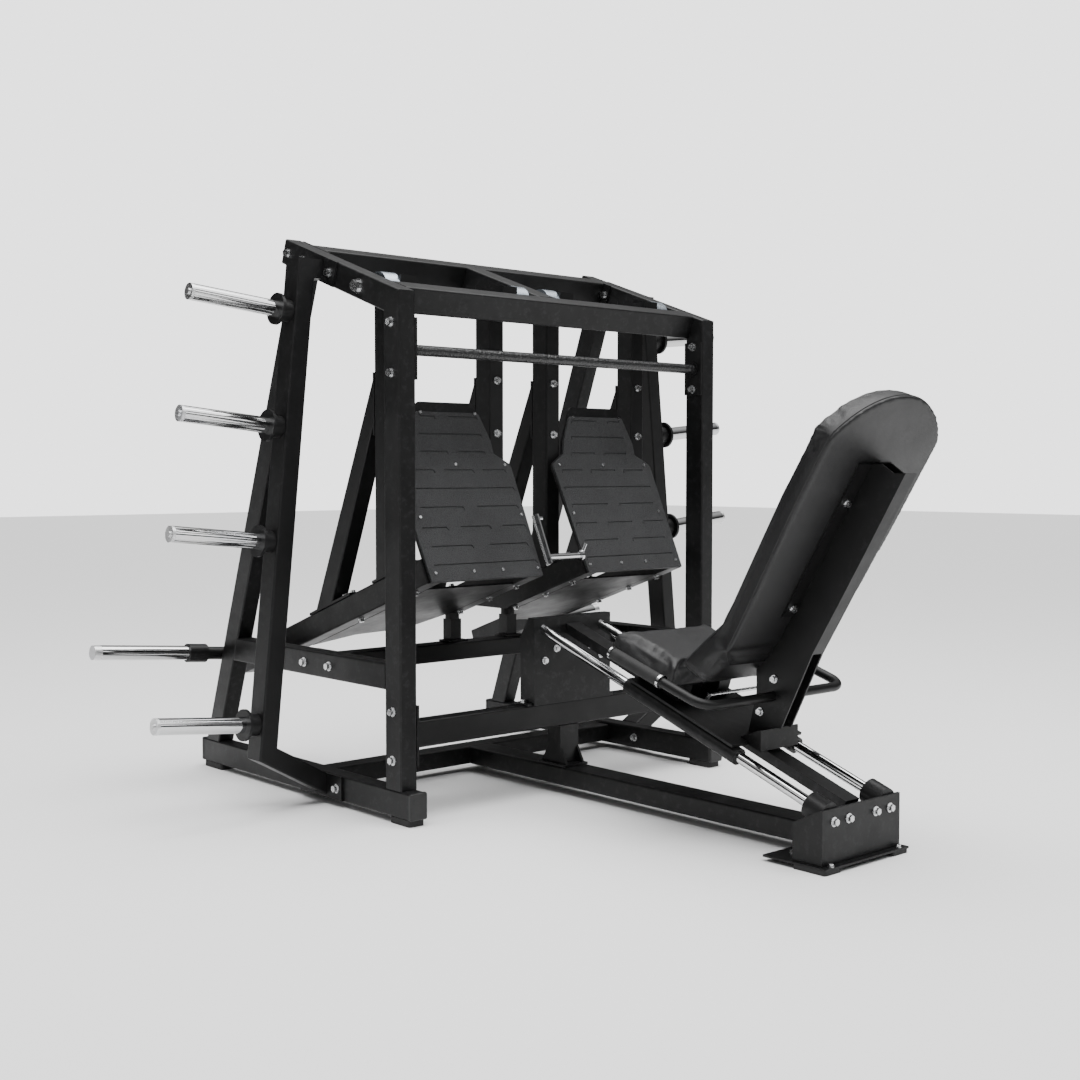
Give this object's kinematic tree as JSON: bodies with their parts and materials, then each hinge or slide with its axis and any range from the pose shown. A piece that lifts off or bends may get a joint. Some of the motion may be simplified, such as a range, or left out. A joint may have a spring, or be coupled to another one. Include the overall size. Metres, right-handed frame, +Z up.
{
  "type": "leg press machine",
  "caption": "Plate-loaded seated leg press: sloping frame, swinging footplate levers with weight horns, reclined sliding seat and side racks for spare plates.",
  "frame": {"origin": "on the floor, at the middle of the footprint", "axes": "+X across the machine to the sitter's right, +Y from the seat towards the weight horns, +Z up"},
  "size_m": [2.5334, 2.496, 1.798],
  "materials": {
    "frame_paint": "satin black powder coat",
    "lever_paint": "satin black powder coat",
    "chrome": "polished chrome plate",
    "zinc": "bright zinc plate",
    "hub_steel": "machined steel",
    "pad_vinyl": "black upholstery vinyl, semi-gloss",
    "tread": "granular dark grey tread with pressed grooves",
    "grip_rubber": "black rubber",
    "foot_rubber": "black rubber",
    "cap_plastic": "black plastic",
    "pale_cap": "pale satin end cap"
  },
  "bodies": {
    "frame": {"left_upright": "frame_paint", "right_upright": "frame_paint", "left_top_bar": "frame_paint", "right_top_bar": "frame_paint", "left_rear_leg": "frame_paint", "right_rear_leg": "frame_paint", "mid_bars": "frame_paint", "left_base_bar": "frame_paint", "right_base_bar": "frame_paint", "base_end_caps": "cap_plastic", "rubber_feet": "foot_rubber", "front_top_beam": "frame_paint", "rear_top_beam": "frame_paint", "centre_top_beam": "frame_paint", "handlebar": "frame_paint", "lower_crossbeam": "frame_paint", "mid_crossbar": "frame_paint", "base_crossbar": "frame_paint", "centre_rail": "frame_paint", "guide_head_bracket": "frame_paint", "guide_foot_bracket": "frame_paint", "guide_rods": "chrome", "lock_bar": "frame_paint", "left_peg_frame": "frame_paint", "right_peg_frame": "frame_paint", "peg_sleeves": "chrome", "peg_collars": "frame_paint", "peg_end_caps": "pale_cap", "pivot_shafts": "hub_steel", "rest_stops": "frame_paint", "frame_bolts": "zinc"},
    "left_lever": {"left_press_arms": "lever_paint", "left_pivot_hubs": "hub_steel", "left_braces": "lever_paint", "left_lever_tubes": "lever_paint", "left_gusset_pan": "lever_paint", "left_backing_plate": "lever_paint", "left_foot_pad": "tread", "left_horn_rod": "lever_paint", "left_horn_sleeve": "chrome", "left_lever_bolts": "zinc"},
    "right_lever": {"right_press_arms": "lever_paint", "right_pivot_hubs": "hub_steel", "right_braces": "lever_paint", "right_lever_tubes": "lever_paint", "right_gusset_pan": "lever_paint", "right_backing_plate": "lever_paint", "right_foot_pad": "tread", "right_horn_rod": "lever_paint", "right_horn_sleeve": "chrome", "right_lever_bolts": "zinc"},
    "coupling_latch": {"coupling_latch": "chrome"},
    "seat_carriage": {"carriage_sleeves": "frame_paint", "carriage_frame": "frame_paint", "seat_pad": "pad_vinyl", "backrest_pad": "pad_vinyl", "back_spine": "frame_paint", "grip_handles": "frame_paint", "hand_grips": "grip_rubber"},
    "lock_pin": {"lock_pin": "zinc"}
  },
  "joints": [
    {"name": "left_press_swing", "type": "hinge", "parent": "frame", "child": "left_lever", "pos_m": [0, 0.25, 1.609], "axis": [1, 0, 0], "range_deg": [0, 28]},
    {"name": "right_press_swing", "type": "hinge", "parent": "frame", "child": "right_lever", "pos_m": [0, 0.25, 1.609], "axis": [1, 0, 0], "range_deg": [0, 28]},
    {"name": "seat_slide", "type": "slide", "parent": "frame", "child": "seat_carriage", "axis": [0, 0.9426, 0.3338], "range_m": [-0.15, 0.19]},
    {"name": "seat_lock_pull", "type": "slide", "parent": "seat_carriage", "child": "lock_pin", "axis": [0, -0.3338, 0.9426], "range_m": [0, 0.018], "stiffness_N_per_m": 600, "springref_m": -0.02},
    {"name": "latch_swing", "type": "hinge", "parent": "left_lever", "child": "coupling_latch", "pos_m": [-0.089, 0.055, 0.749], "axis": [0, 0.4286, 0.9035], "range_deg": [-80, 0]}
  ]
}
